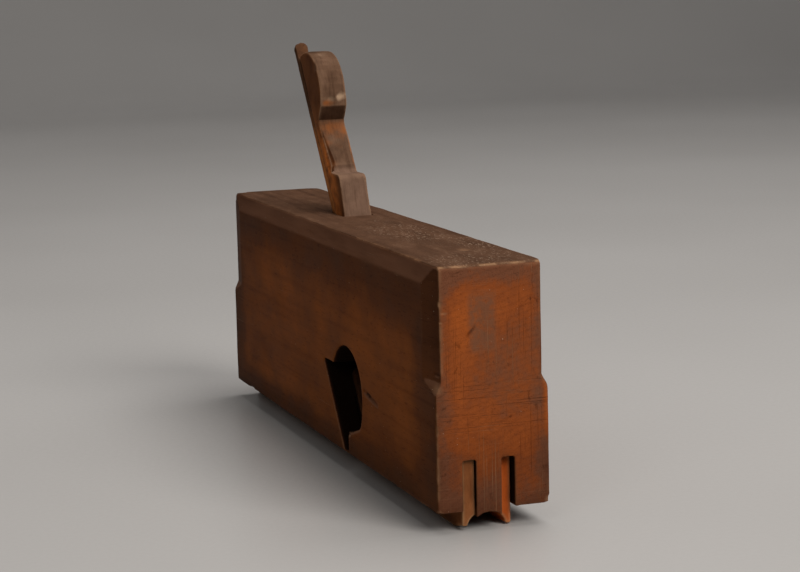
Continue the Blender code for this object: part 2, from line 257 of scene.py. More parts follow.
class Look:
    """Short calls that build one material's nodes. A value can be a number, a colour or a socket."""

    def __init__(self, name):
        self.material = bpy.data.materials.new(name)
        self.material.use_nodes = True
        self.nodes = self.material.node_tree.nodes
        self.links = self.material.node_tree.links
        self.shader = self.nodes["Principled BSDF"]
        self.coordinates = self.nodes.new("ShaderNodeTexCoord")
        self.place = self.coordinates.outputs["Object"]

    def feed(self, socket, value):
        if isinstance(value, bpy.types.NodeSocket):
            self.links.new(value, socket)
        elif isinstance(value, tuple) and len(value) == 3 and socket.type == "RGBA":
            socket.default_value = (*value, 1.0)
        else:
            socket.default_value = value

    def mask(self, name):
        node = self.nodes.new("ShaderNodeAttribute")
        node.attribute_name = name
        return node.outputs["Fac"]

    def facing(self):
        """The surface's own direction, as three numbers."""
        node = self.nodes.new("ShaderNodeSeparateXYZ")
        self.links.new(self.coordinates.outputs["Normal"], node.inputs[0])
        return node.outputs

    def where(self):
        """The place on the surface, as three numbers."""
        node = self.nodes.new("ShaderNodeSeparateXYZ")
        self.links.new(self.place, node.inputs[0])
        return node.outputs

    def math(self, operation, *values, clamp=False):
        node = self.nodes.new("ShaderNodeMath")
        node.operation = operation
        node.use_clamp = clamp
        for socket, value in zip(node.inputs, values):
            self.feed(socket, value)
        return node.outputs[0]

    def step(self, value, low, high, to_low=0.0, to_high=1.0):
        """Turns a range of a value into another range, smoothly."""
        node = self.nodes.new("ShaderNodeMapRange")
        node.interpolation_type = "SMOOTHSTEP"
        for name, number in (("From Min", low), ("From Max", high), ("To Min", to_low), ("To Max", to_high)):
            node.inputs[name].default_value = number
        self.feed(node.inputs["Value"], value)
        return node.outputs["Result"]

    def stretched(self, scale, turn=(0, 0, 0)):
        node = self.nodes.new("ShaderNodeMapping")
        node.inputs["Scale"].default_value = scale
        node.inputs["Rotation"].default_value = [radians(a) for a in turn]
        self.links.new(self.place, node.inputs["Vector"])
        return node.outputs[0]

    def noise(self, scale, detail=3.0, rough=0.55, warp=0.0, turn=(0, 0, 0), seed=0.0):
        """Noise with this many cells per metre along x, y and z."""
        node = self.nodes.new("ShaderNodeTexNoise")
        node.noise_dimensions = "4D"
        node.inputs["W"].default_value = seed
        node.inputs["Scale"].default_value = 1.0
        node.inputs["Detail"].default_value = detail
        node.inputs["Roughness"].default_value = rough
        node.inputs["Distortion"].default_value = warp
        self.links.new(self.stretched(scale, turn), node.inputs["Vector"])
        return node.outputs["Fac"]

    def cells(self, scale, turn=(0, 0, 0)):
        node = self.nodes.new("ShaderNodeTexVoronoi")
        node.inputs["Scale"].default_value = 1.0
        self.links.new(self.stretched(scale, turn), node.inputs["Vector"])
        return node.outputs["Distance"]

    def rings(self, scale, centre, warp):
        """Year rings: bands round a line along the grain, bent by noise."""
        place = self.nodes.new("ShaderNodeMapping")
        place.inputs["Location"].default_value = [-c for c in centre]
        place.inputs["Scale"].default_value = (1, 0.02, 1)
        self.links.new(self.place, place.inputs["Vector"])
        node = self.nodes.new("ShaderNodeTexWave")
        node.wave_type = "RINGS"
        node.rings_direction = "Y"
        node.wave_profile = "SAW"
        node.inputs["Scale"].default_value = scale
        node.inputs["Distortion"].default_value = warp
        node.inputs["Detail"].default_value = 3.0
        node.inputs["Detail Scale"].default_value = 0.35
        self.links.new(place.outputs[0], node.inputs["Vector"])
        return node.outputs["Fac"]

    def mix(self, factor, first, second, mode="MIX"):
        node = self.nodes.new("ShaderNodeMix")
        node.data_type = "RGBA"
        node.blend_type = mode
        self.feed(node.inputs["Factor"], factor)
        colours = [s for s in node.inputs if s.type == "RGBA"]
        self.feed(colours[0], first)
        self.feed(colours[1], second)
        return next(s for s in node.outputs if s.type == "RGBA")

    def times(self, first, second, clamp=False):
        return self.math("MULTIPLY", first, second, clamp=clamp)

    def plus(self, base, value, share, clamp=False):
        """base + value * share"""
        return self.math("MULTIPLY_ADD", value, share, base, clamp=clamp)

    def shade(self, colour, factor, left):
        """Darkens a colour: left is the share of it that stays where the factor is 1."""
        return self.mix(factor, colour, left, "MULTIPLY")

    def ramp(self, value, *stops):
        """A colour for each value: stops are (place, colour)."""
        node = self.nodes.new("ShaderNodeValToRGB")
        ramp = node.color_ramp
        while len(ramp.elements) < len(stops):
            ramp.elements.new(0.5)
        for element, (place, colour) in zip(ramp.elements, stops):
            element.position = place
            element.color = (*colour, 1.0)
        self.feed(node.inputs[0], value)
        return node.outputs["Color"]

    def bump(self, height, distance, strength=1.0, under=None):
        node = self.nodes.new("ShaderNodeBump")
        node.inputs["Distance"].default_value = distance
        node.inputs["Strength"].default_value = strength
        self.feed(node.inputs["Height"], height)
        if under:
            self.links.new(under, node.inputs["Normal"])
        return node.outputs["Normal"]

    def done(self, colour, roughness, normal):
        self.feed(self.shader.inputs["Base Color"], colour)
        self.feed(self.shader.inputs["Roughness"], roughness)
        self.feed(self.shader.inputs["Normal"], normal)
        return self.material


# ---------------------------------------------------------------- looks of the pieces


WOOD_GLOSS = 0.012          # a matt skin: the pale floor would show in a glossier one

# The stock's linear colours, as ramps of (place, colour)
SIDE_RAMP = ((0.0, (0.088, 0.030, 0.0105)), (0.45, (0.122, 0.037, 0.0095)), (1.0, (0.245, 0.069, 0.0120)))
TOE_RAMP = ((0.08, (0.150, 0.056, 0.028)), (0.52, (0.225, 0.058, 0.0160)), (1.0, (0.305, 0.075, 0.0160)))
TOP_RAMP = ((0.25, (0.065, 0.032, 0.018)), (0.55, (0.112, 0.056, 0.032)), (0.85, (0.200, 0.115, 0.070)))
# Painted light: the bands that lean up towards the lamps
LIT_BAND_BROWN = (0.185, 0.082, 0.044)
STAMP_DULL = (0.140, 0.062, 0.034)
SCUFF_PALE = (0.42, 0.290, 0.200)
SPECK_PALE = (0.50, 0.38, 0.27)
RUBBED = (0.215, 0.105, 0.052)
# Raw wood, also used for painted highlights
RAW_WOOD_AND_HIGHLIGHT = (0.450, 0.250, 0.130)
# Painted shade: the near black put deep in the slots, the mouth and the mortise
CAVE_PAINTED_SHADE = (0.010, 0.0045, 0.0025)

# What the stock's shades leave of a colour
GRAIN_SHADE = (0.42, 0.34, 0.28)
BANDS_SHADE = (0.55, 0.46, 0.40)
FLECK_SHADE = (0.30, 0.24, 0.20)
RING_SHADE = (0.42, 0.34, 0.30)
PORE_SHADE = (0.42, 0.33, 0.28)
STAIN_SHADE = (0.34, 0.30, 0.28)
TOP_GRAIN_SHADE = (0.44, 0.38, 0.34)
# Left by dirt, and by the painted shade under the flats
GRIME_AND_PAINTED_SHADE = (0.42, 0.38, 0.38)
SCRATCH_SHADE = (0.36, 0.30, 0.28)
# Left by scars, and by a painted shadow above the left chamfer's stop
SCAR_AND_SHADOW_DARK = (0.26, 0.19, 0.15)

# Year rings on the toe: how many per metre, where their middle is, how bent they are
RINGS_PER_METRE, RINGS_MIDDLE, RINGS_WARP = 150, (0.050, 0, -0.110), 7.0
# The band of the toe, in metres above the floor, that was scratched across most: both its fades
SCRATCHED_FROM, SCRATCHED_TO = (0.030, 0.037), (0.052, 0.045)

WEDGE_GRAIN_TURN = (-54, 0, 0)   # degrees: the wedge's grain runs along the bed
WEDGE_FRONT_RAMP = ((0.25, (0.07, 0.036, 0.02)), (0.52, (0.114, 0.061, 0.036)), (0.8, (0.185, 0.105, 0.065)))
WEDGE_GREY_RAMP = ((0.25, (0.108, 0.060, 0.038)), (0.75, (0.195, 0.114, 0.076)))
WEDGE_FLANK_RAMP = ((0.3, (0.1, 0.036, 0.015)), (0.6, (0.15, 0.055, 0.02)), (0.85, (0.2, 0.072, 0.024)))
NECK_ORANGE = (0.235, 0.076, 0.022)
FLANK_ORANGE = (0.480, 0.150, 0.036)
WEDGE_RUBBED = (0.25, 0.145, 0.085)
# Raw wood, also used for a painted highlight on the head
WEDGE_RAW_AND_HIGHLIGHT = (0.46, 0.31, 0.20)
WEDGE_GRAIN_SHADE = (0.40, 0.33, 0.29)
WEDGE_FINE_SHADE = (0.42, 0.36, 0.33)
# Left by dirt, and by painted shade under the head and on the neck's chamfers
WEDGE_GRIME_AND_PAINTED_SHADE = (0.22, 0.16, 0.12)
# What the painted shade in the mortise and the throat leaves of a colour
WEDGE_PAINTED_CAVE_SHADE = (0.08, 0.055, 0.040)

# Boxwood of the two rows: (place, colour) ramps and the first seed
TAN_RAMP = ((0.25, (0.120, 0.040, 0.015)), (0.52, (0.195, 0.067, 0.023)), (0.8, (0.285, 0.110, 0.041)))
# The red is partly its own colour and partly painted light, brightened for the light thrown about in its slot
RED_RAMP_PAINTED_BRIGHT = ((0.25, (0.24, 0.048, 0.010)), (0.52, (0.43, 0.083, 0.015)), (0.8, (0.53, 0.120, 0.024)))
TAN_SEED, RED_SEED = 3, 13
SLIP_GRAIN_TURN = (30, 0, 0)
SLIP_POLISHED = (0.46, 0.28, 0.14)
SLIP_GRAIN_SHADE = (0.50, 0.42, 0.36)
SLIP_FINE_SHADE = (0.50, 0.44, 0.40)
# Left by dirt, and by painted shade under the slot's roof
SLIP_GRIME_AND_PAINTED_SHADE = (0.30, 0.25, 0.22)

RUST_RAMP = ((0.25, (0.045, 0.020, 0.010)), (0.5, (0.088, 0.038, 0.018)), (0.75, (0.150, 0.066, 0.029)))
FRESH_RUST_RAMP = ((0.30, (0.260, 0.085, 0.024)), (0.65, (0.520, 0.185, 0.048)))
STEEL_RAMP = ((0.3, (0.20, 0.19, 0.17)), (0.7, (0.36, 0.34, 0.31)))
RUST_SPECK = (0.040, 0.020, 0.012)
# What the painted shade inside the stock leaves of the iron's colour
IRON_PAINTED_CAVE_SHADE = (0.26, 0.21, 0.17)


def beech_side(look, grain, flecks, cloud, leaning_up_lit):
    """Long grain: dark towards the edges, orange in the middle, and duller but painted lighter where the face
    leans up towards the light.
    """
    bands = look.noise((60, 3.5, 46), detail=3, rough=0.5, warp=0.8, seed=3)
    blotch = look.noise((26, 17, 26), detail=4, rough=0.55, warp=0.3, seed=8)
    streaks = look.noise((260, 26, 260), detail=4, rough=0.6, seed=16)
    warm = look.plus(look.plus(-0.75, blotch, 1.6), look.mask("warm"), 0.75)
    warm = look.plus(warm, look.math("SUBTRACT", cloud, 0.5), 0.9, clamp=True)
    side = look.ramp(warm, *SIDE_RAMP)
    side = look.shade(side, look.step(grain, 0.44, 0.74, to_high=0.40), GRAIN_SHADE)
    side = look.shade(side, look.step(bands, 0.45, 0.75, to_high=0.30), BANDS_SHADE)
    side = look.shade(side, look.step(flecks, 0.60, 0.70, to_high=0.45), FLECK_SHADE)
    # Painted light on the bands that lean up, streaked
    return look.mix(look.times(leaning_up_lit, look.step(streaks, 0.30, 0.60, 0.45, 0.85)), side, LIT_BAND_BROWN)


def beech_toe(look, pores):
    """End grain: patches of orange under a duller skin, faint rings, a speckle of pores."""
    mottle = look.noise((420, 380, 420), detail=4, rough=0.65, seed=14)
    smudge = look.noise((58, 40, 42), detail=6, rough=0.66, warp=0.5, seed=23)
    stain = look.noise((210, 150, 230), detail=4, rough=0.7, warp=0.8, seed=25)
    ring = look.rings(RINGS_PER_METRE, RINGS_MIDDLE, RINGS_WARP)
    glow = look.plus(look.mask("warm"), look.math("SUBTRACT", smudge, 0.5), 1.7)
    glow = look.plus(glow, look.math("SUBTRACT", mottle, 0.5), 0.8, clamp=True)
    toe = look.ramp(glow, *TOE_RAMP)
    toe = look.shade(toe, look.step(ring, 0.50, 1.0, to_high=0.16), RING_SHADE)
    toe = look.shade(toe, look.step(pores, 0.55, 0.68, to_high=0.42), PORE_SHADE)
    toe = look.shade(toe, look.step(stain, 0.60, 0.70, to_high=0.55), STAIN_SHADE)
    worn_stamp = look.times(look.mask("rubbed"), look.step(mottle, 0.36, 0.58, 0.30, 0.80))
    return look.mix(worn_stamp, toe, STAMP_DULL)


def beech_top(look, grain, scuff):
    """The top: grey and dry, with pale scuffs towards the toe."""
    dry = look.noise((160, 60, 160), detail=6, rough=0.7, seed=31)
    top = look.ramp(dry, *TOP_RAMP)
    top = look.shade(top, look.step(grain, 0.45, 0.75, to_high=0.5), TOP_GRAIN_SHADE)
    scuffed = look.times(look.step(scuff, 0.55, 0.63), look.mask("scuffed"))
    return look.mix(look.times(scuffed, 0.7), top, SCUFF_PALE)


def beech_scratches(look, end, z):
    """Fine scratches: on the toe they run up and across, on the sides along the grain."""
    upward = look.noise((2900, 200, 26), detail=2, rough=0.5, seed=41)
    across = look.noise((30, 200, 3000), detail=2, rough=0.5, turn=(0, 1.5, 0), seed=43)
    along = look.noise((3000, 17, 3000), detail=1, rough=0.3, turn=(1.5, 0, 0), seed=47)
    worked = look.times(look.step(z, *SCRATCHED_FROM), look.step(z, *SCRATCHED_TO))
    across = look.times(look.step(across, 0.57, 0.70), look.plus(0.25, worked, 0.85))
    on_end = look.times(look.math("MAXIMUM", look.step(upward, 0.60, 0.72), across), end)
    long_side = look.math("SUBTRACT", 1.0, end)
    return look.math("MAXIMUM", on_end, look.times(look.step(along, 0.75, 0.79), long_side))


def beech_look():
    """Old oiled beech: long grain on the sides, end grain on the toe, a grey dry top."""
    look = Look("old_beech")
    _, ny, nz = look.facing()
    end = look.step(look.math("ABSOLUTE", ny), 0.55, 0.80)
    top = look.step(nz, 0.60, 0.85)
    # Faces that lean up a little, painted lighter as if they catch the light from above
    leaning_up_lit = look.times(look.step(nz, 0.06, 0.22), look.math("SUBTRACT", 1.0, end))

    grain = look.noise((420, 9, 300), detail=5, rough=0.6, warp=0.4)
    flecks = look.noise((2100, 330, 2100), detail=2, rough=0.4, seed=5)
    cloud = look.noise((75, 55, 80), detail=5, rough=0.62, seed=12)
    pores = look.noise((2600, 900, 2600), detail=2, rough=0.5, seed=21)
    scuff = look.noise((1300, 420, 1300), detail=3, rough=0.6, warp=0.6, seed=33)
    colour = look.mix(end, beech_side(look, grain, flecks, cloud, leaning_up_lit), beech_toe(look, pores))
    colour = look.mix(top, colour, beech_top(look, grain, scuff))
    # Dirt on the sides, darker at the toe's edges and bottom, and painted shade under the flats
    colour = look.shade(colour, look.times(look.mask("grime_and_shade"), 0.8), GRIME_AND_PAINTED_SHADE)

    # Some places have pale scratches, the others dark ones.
    scratches = beech_scratches(look, end, look.where()[2])
    pale = look.step(look.noise((40, 40, 40), detail=2, rough=0.5, seed=49), 0.44, 0.56)
    dark = look.times(scratches, look.math("SUBTRACT", 1.0, pale))
    colour = look.mix(look.times(scratches, look.times(pale, 0.30)), colour, RAW_WOOD_AND_HIGHLIGHT)
    colour = look.shade(colour, look.times(dark, 0.42), SCRATCH_SHADE)
    specks = look.step(look.noise((1500, 1500, 1500), detail=1, rough=0.3, seed=51), 0.775, 0.80)
    colour = look.mix(look.times(specks, 0.75), colour, SPECK_PALE)

    rub = look.step(look.noise((300, 200, 300), detail=4, rough=0.6, seed=55), 0.35, 0.65, 0.25, 0.9)
    colour = look.mix(look.times(look.mask("wear"), rub, clamp=True), colour, RUBBED)
    # Raw wood in dents and chips, and painted highlights on arrises and the chamfer's stop
    colour = look.mix(look.mask("raw_and_highlight"), colour, RAW_WOOD_AND_HIGHLIGHT)
    # Dark scars, and a painted shadow above the left chamfer's stop
    colour = look.shade(colour, look.mask("scar_and_shadow"), SCAR_AND_SHADOW_DARK)
    # Painted shade: near black deep in the hollows
    colour = look.mix(look.mask("painted_cave_shade"), colour, CAVE_PAINTED_SHADE)

    roughness = look.plus(look.plus(0.40, cloud, 0.20), top, 0.20)
    height = look.plus(look.times(flecks, -0.35), grain, -0.5)
    height = look.plus(height, look.times(pores, end), -0.7)
    height = look.plus(height, look.times(scuff, top), 1.3)
    height = look.plus(height, scratches, -0.9)
    look.feed(look.shader.inputs["Specular IOR Level"], WOOD_GLOSS)
    return look.done(colour, roughness, look.bump(height, 0.16 * MM, 0.9))


def wedge_look():
    """Dry handled beech, grey where it was never oiled and orange where a hand rubbed the neck."""
    look = Look("wedge_beech")
    nx = look.facing()[0]
    grain = look.noise((900, 70, 70), detail=5, rough=0.6, warp=0.5, turn=WEDGE_GRAIN_TURN, seed=2)
    fine = look.noise((2600, 300, 300), detail=3, rough=0.6, turn=WEDGE_GRAIN_TURN, seed=4)
    cloud = look.noise((140, 120, 140), detail=5, rough=0.62, seed=6)
    blotch = look.noise((60, 60, 60), detail=3, rough=0.5, seed=9)
    side = look.step(look.math("ABSOLUTE", nx), 0.45, 0.80)

    front = look.ramp(cloud, *WEDGE_FRONT_RAMP)
    front = look.mix(look.mask("grey"), front, look.ramp(cloud, *WEDGE_GREY_RAMP))
    colour = look.mix(side, front, look.ramp(blotch, *WEDGE_FLANK_RAMP))
    orange = look.times(look.mask("warm"), look.step(cloud, 0.32, 0.58))
    colour = look.mix(orange, colour, look.mix(side, NECK_ORANGE, FLANK_ORANGE))
    colour = look.shade(colour, look.step(grain, 0.45, 0.72, to_high=0.5), WEDGE_GRAIN_SHADE)
    colour = look.shade(colour, look.step(fine, 0.56, 0.70, to_high=0.4), WEDGE_FINE_SHADE)
    # Dirt in blotches, and painted shade under the head and on the neck's chamfers
    colour = look.shade(colour, look.times(look.mask("grime_and_shade"), 0.9), WEDGE_GRIME_AND_PAINTED_SHADE)
    rub = look.step(cloud, 0.35, 0.6, to_low=0.3)
    colour = look.mix(look.times(look.mask("wear"), rub, clamp=True), colour, WEDGE_RUBBED)
    # Raw wood in dents, partly a painted highlight on the head
    colour = look.mix(look.mask("raw_and_highlight"), colour, WEDGE_RAW_AND_HIGHLIGHT)
    # Painted shade where the wedge is down in the mortise and the throat
    colour = look.shade(colour, look.mask("painted_cave_shade"), WEDGE_PAINTED_CAVE_SHADE)

    height = look.plus(look.times(grain, -0.7), fine, -0.5)
    height = look.plus(height, cloud, 0.6)
    look.feed(look.shader.inputs["Specular IOR Level"], WOOD_GLOSS)
    return look.done(colour, look.plus(0.46, cloud, 0.2), look.bump(height, 0.22 * MM, 0.9))


def boxwood_look(name, ramp, seed):
    """Dense boxwood with slanting grain, polished by the work along its foot."""
    look = Look(name)
    grain = look.noise((700, 120, 60), detail=5, rough=0.6, warp=0.3, turn=SLIP_GRAIN_TURN, seed=seed)
    cloud = look.noise((150, 110, 95), detail=4, rough=0.6, seed=seed + 2)
    fine = look.noise((3600, 900, 900), detail=2, rough=0.5, seed=seed + 4)
    colour = look.ramp(cloud, *ramp)
    colour = look.shade(colour, look.step(grain, 0.45, 0.75, to_high=0.5), SLIP_GRAIN_SHADE)
    colour = look.shade(colour, look.step(fine, 0.55, 0.7, to_high=0.35), SLIP_FINE_SHADE)
    # Dirt in blotches, and painted shade towards the top under the slot's roof
    colour = look.shade(colour, look.times(look.mask("grime_and_shade"), 0.8), SLIP_GRIME_AND_PAINTED_SHADE)
    colour = look.mix(look.times(look.mask("wear"), 0.5), colour, SLIP_POLISHED)
    # Painted shade: near black where a slip shows in the mouth
    colour = look.mix(look.mask("painted_cave_shade"), colour, CAVE_PAINTED_SHADE)
    height = look.plus(look.times(fine, -0.4), grain, -0.6)
    look.feed(look.shader.inputs["Specular IOR Level"], WOOD_GLOSS)
    return look.done(colour, look.step(cloud, 0.3, 0.7, 0.38, 0.55), look.bump(height, 0.1 * MM, 0.8))


def iron_look():
    """Forged iron: brown rust skin, darker pits and grey metal where it rubs and where it is ground."""
    look = Look("rusty_iron")
    cloud = look.noise((170, 170, 170), detail=6, rough=0.65, warp=0.3, seed=3)
    pits = look.cells((900, 900, 900))
    speck = look.noise((1600, 1600, 1600), detail=3, rough=0.6, seed=7)
    bright = look.times(look.mask("bright"), look.step(cloud, 0.35, 0.6), clamp=True)
    rust = look.ramp(cloud, *RUST_RAMP)
    rust = look.mix(look.times(look.mask("warm"), 0.85), rust, look.ramp(cloud, *FRESH_RUST_RAMP))
    rust = look.mix(look.step(speck, 0.55, 0.7, to_high=0.6), rust, RUST_SPECK)
    colour = look.mix(bright, rust, look.ramp(speck, *STEEL_RAMP))
    # Painted shade where the iron is inside the stock
    colour = look.shade(colour, look.mask("painted_cave_shade"), IRON_PAINTED_CAVE_SHADE)
    height = look.plus(look.times(cloud, 0.9), look.step(pits, 0.0, 0.35), 0.6)
    look.feed(look.shader.inputs["Metallic"], look.plus(0.02, bright, 0.80))
    look.feed(look.shader.inputs["Specular IOR Level"], WOOD_GLOSS)
    return look.done(colour, look.plus(0.70, bright, -0.28), look.bump(height, 0.2 * MM, 0.8))


# ---------------------------------------------------------------- marks


# Corners that the marks are measured from
LEFT_TOE_FOOT = (-SIDE, TOE, FLATS)
RIGHT_TOE_FOOT = (SIDE, TOE, FLATS)
LEFT_HEEL_FOOT = (-SIDE, HEEL, FLATS)
LEFT_HEEL_TOP = (-SIDE, HEEL, TOP)
RIGHT_HEEL_TOP = (SIDE, HEEL, TOP)
HEEL_TOP = (0, HEEL, TOP)
TOE_TOP = (0, TOE, TOP)
TOE_FLOOR = (0, TOE, 0)
MOUTH = (-SIDE, BED_FOOT, FLATS)
CHAMFER_END = (-SIDE, TOE, CHAMFER_STOP)
WEDGE_CORNER = (WEDGE_LOW.x, TOE, TOP)
WEDGE_SUMMIT = (WEDGE_LOW.x, TOE, WEDGE_HIGH.z)

IN_LEFT, IN_TOE, IN_HEEL, IN_TOP = (1, 0, 0), (0, 1, 0), (0, -1, 0), (0, 0, -1)
NOWHERE = (0, 0, 0)

# Scored lines of the stock. In millimetres: both ends from the corner, width and depth. Then the
# direction it goes in, the seed, and the tone: how pale it is, or how dark when below 0.
STOCK_GOUGES = [
    (LEFT_TOE_FOOT, (0, 71.6, 26.7), (0, 58, 24.4), 1.4, 0.50, IN_LEFT, 3, -0.6),
    (TOE_FLOOR, (-8.3, 0, 63.4), (-5.7, 0, 66.4), 0.7, 0.5, IN_TOE, 7, -0.6),
]

# Dents of the stock. In millimetres: the middle from the corner, half sizes and depth. Then as above.
STOCK_DENTS = [
    (MOUTH, (0, -5.5, 7.6), (2.5, 2.0, 1.0), 0.5, IN_LEFT, 5, 0.6),
    (TOE_TOP, (-9.5, 0, 0), (2.6, 2.2, 1.1), 0.5, IN_TOP, 9, 0.15),
    (TOE_TOP, (-3.0, 0, 0), (1.6, 1.4, 0.9), 0.35, IN_TOP, 11, 0.15),
    (TOE_TOP, (8.0, 0, 0), (2.2, 1.2, 0.8), 0.3, IN_TOP, 12, 0.25),
    (LEFT_TOE_FOOT, (1.9, 0, 67.5), (0.8, 1.6, 1.6), 0.4, IN_TOE, 10, 0.4),
    (LEFT_TOE_FOOT, (3.2, 0, 64.5), (1.6, 1.2, 0.6), 0.3, IN_TOE, 25, 0.4),
    (LEFT_TOE_FOOT, (2.2, 0, 61.5), (0.9, 1.2, 0.7), 0.3, IN_TOE, 26, 0.5),
    # Next: a painted highlight on the facet at the chamfer's stop, then a painted shadow in the crescent
    # above it
    (CHAMFER_END, (1.2, 1.6, -0.2), (2.4, 3.2, 2.6), 0.15, IN_LEFT, 27, 0.55),
    (CHAMFER_END, (1.6, 2.6, 4.4), (2.0, 3.0, 1.0), 0.25, IN_LEFT, 28, -0.9),
    (LEFT_TOE_FOOT, (0, 0, 13), (1.2, 1.6, 3.2), 0.5, (1, 0.4, 0), 13, 0.2),
    (LEFT_TOE_FOOT, (0, 0, 27), (1.1, 1.4, 2.4), 0.4, (1, 0.4, 0), 14, 0.2),
    (RIGHT_TOE_FOOT, (0, 0, 1), (2.6, 2.4, 2.2), 0.5, (-0.7, 0.5, 0.6), 15, 0.2),
    (LEFT_TOE_FOOT, (0, 0, 0), (2.0, 2.4, 1.8), 0.5, (0.7, 0.5, 0.6), 16, 0.2),
    (LEFT_TOE_FOOT, (0, 44, 0), (1.8, 4.0, 1.0), 0.4, (0.6, 0, 1), 17, 0.2),
    (LEFT_HEEL_FOOT, (0, -22, 0), (1.6, 5.0, 1.2), 0.4, (0.6, 0, 1), 18, 0.2),
    (LEFT_HEEL_TOP, (3, 0, 0), (5.0, 4.0, 4.0), 1.5, (0.5, -0.6, -0.8), 19, 0.0),
    (RIGHT_HEEL_TOP, (-2, 0, 0), (5.0, 4.0, 3.0), 1.3, (-0.5, -0.6, -0.8), 20, 0.0),
    (HEEL_TOP, (3, 0, -14), (7.0, 2.5, 6.0), 0.7, IN_HEEL, 22, -0.3),
    (HEEL_TOP, (-4, 0, -26), (4.0, 2.0, 4.0), 0.5, IN_HEEL, 23, -0.3),
    (TOE_TOP, (4, 33, 0), (3.0, 4.0, 2.0), 0.35, IN_TOP, 24, 0.2),
]

WEDGE_DENTS = [
    # First: a dent whose pale tone is partly a painted highlight on the head's lower right
    (WEDGE_CORNER, (8.3, 166, 43), (2.6, 3.0, 2.0), 0.8, (0, 0.9, 0.4), 3, 0.75),
    (WEDGE_CORNER, (4.0, 166, 42), (2.6, 2.4, 1.6), 0.6, (0, 0.9, 0.4), 4, 0.25),
    (WEDGE_SUMMIT, (5.0, 176, 0), (3.5, 5.0, 2.2), 0.6, (0, 0.3, -1), 5, 0.2),
    (WEDGE_CORNER, (0, 172, 54), (1.0, 2.5, 2.5), 0.4, (1, 0.3, -0.3), 6, 0.1),
    (WEDGE_CORNER, (10.9, 141, 13), (1.6, 3.0, 2.6), 0.9, (-0.7, 0.4, -0.5), 7, 0.2),
    (WEDGE_CORNER, (1.0, 143, 15), (1.6, 2.0, 1.4), 0.5, (0.5, 0.3, -0.7), 8, 0.2),
]

# Where the wedge's head is bruised orange, in millimetres from its corner: middle, half sizes, seed
BRUISE_MIDDLE, BRUISE_SIZE, BRUISE_SEED = (3, 164.5, 40.5), (3, 3, 2), 65
# The dent in the tip of the tang, in millimetres from the tip's middle: middle, half sizes, depth, seed
TANG_DENT = (-1.2, 0, 0), (2, 3, 1.4), 0.4, 5


def spot(corner, offset):
    """The place this many millimetres from a corner."""
    return tuple(c + o * MM for c, o in zip(corner, offset))


def all_marks(points, gouges, dents):
    """How far each mark sinks the points, where it moves them, and its tone. No mark sees another."""
    made = []
    for corner, start, end, width, depth, into, seed, tone in gouges:
        ends = spot(corner, start), spot(corner, end)
        made.append((*gouge(points, *ends, width * MM, depth * MM, into, seed), tone))
    for corner, middle, size, depth, into, seed, tone in dents:
        sunk, shift = dent(points, spot(corner, middle), np.array(size) * MM, depth * MM, into, seed)
        made.append((sunk, shift, tone))
    return made


# ---------------------------------------------------------------- the stock


# The scuffed places on the top: strength, centre across, distance from the toe, half width, half length
SCUFFS = [
    (1.00, 13 * MM, 44 * MM, 8 * MM, 24 * MM),
    (0.70, 2 * MM, 85 * MM, 13 * MM, 42 * MM),
    (0.55, 0 * MM, 12 * MM, 22 * MM, 20 * MM),
]

# Places on the toe: (x, z) of the middle and half sizes
STAMP_MIDDLE, STAMP_HALF = (-3.2 * MM, 67.5 * MM), (4.6 * MM, 9.8 * MM)   # where makers stamp their planes
GLOW_MIDDLE, GLOW_HALF = (-9 * MM, 68 * MM), (7 * MM, 13 * MM)            # the orange beside it

# The stock's hollows, which get painted shade: how far their walls are from its middle, its top or its flats
HOLLOWS_END = 55 * MM        # mouth and mortise lie within this of the stock's middle
SLOTS_HALF_WIDTH = 9 * MM
MORTISE_HALF_WIDTH = 10 * MM
MORTISE_DEPTH = 9 * MM
MOUTH_ROOF = 8 * MM
FLATS_RIM = 0.5 * MM
MOUTH_RIM = 0.4 * MM
TOP_RIM = 0.8 * MM
SLOTS_RIM = 0.8 * MM


def halves_away(a, b, middle, half):
    """How far points are from a place along two axes, in its half sizes."""
    return (a - middle[0]) / half[0], (b - middle[1]) / half[1]


def side_colours(points):
    """How warm and how dirty the sides are: both follow the distance from the nearest edge."""
    _, y, z = points.T
    rim = np.minimum.reduce([y - TOE, (HEEL - y) * 1.5, TOP - z, (z - FLATS) * 2.5])
    rim += 5 * MM * layered(points, (60, 40, 60), 71)
    return smooth_step(rim, 4 * MM, 30 * MM), smooth_step(-rim, -7 * MM, 1 * MM) * 0.5


def toe_colours(points):
    """How warm the toe is and how much darker: orange but for its top, its corners and its right edge, where
    a painted orange highlight runs below the chamfer; darker at its edges and towards the bottom.
    """
    x, _, z = points.T
    from_edge = np.minimum.reduce([SIDE - np.abs(x), TOP - z, (z - FLATS) * 0.6])
    from_edge += 2.2 * MM * layered(points, 120, 75)
    from_glow = np.hypot(*halves_away(x, z, GLOW_MIDDLE, GLOW_HALF)) + 0.3 * layered(points, 150, 73)
    warm = 0.18 + 0.37 * smooth_step(from_edge, 1.5 * MM, 8 * MM) + 0.25 * fade(from_glow, 0.2, 1.1)
    warm *= 0.45 + 0.55 * smooth_step(TOP - z + 3 * MM * layered(points, 140, 81), 3 * MM, 11 * MM)
    # Below its chamfer the right edge of the toe gets a painted orange highlight.
    rim_highlight = fade(SIDE - x, 0.8 * MM, 2.8 * MM) * smooth_step(z, 26 * MM, 36 * MM)
    rim_highlight *= fade(z, 49 * MM, 53 * MM)
    # Darker at its edges and towards the bottom
    darkening = smooth_step(-from_edge, -3.0 * MM, 0.5 * MM) * 0.35 + smooth_step(-z, -42 * MM, -20 * MM) * 0.55
    return warm + 0.6 * rim_highlight, darkening * (1 - rim_highlight)


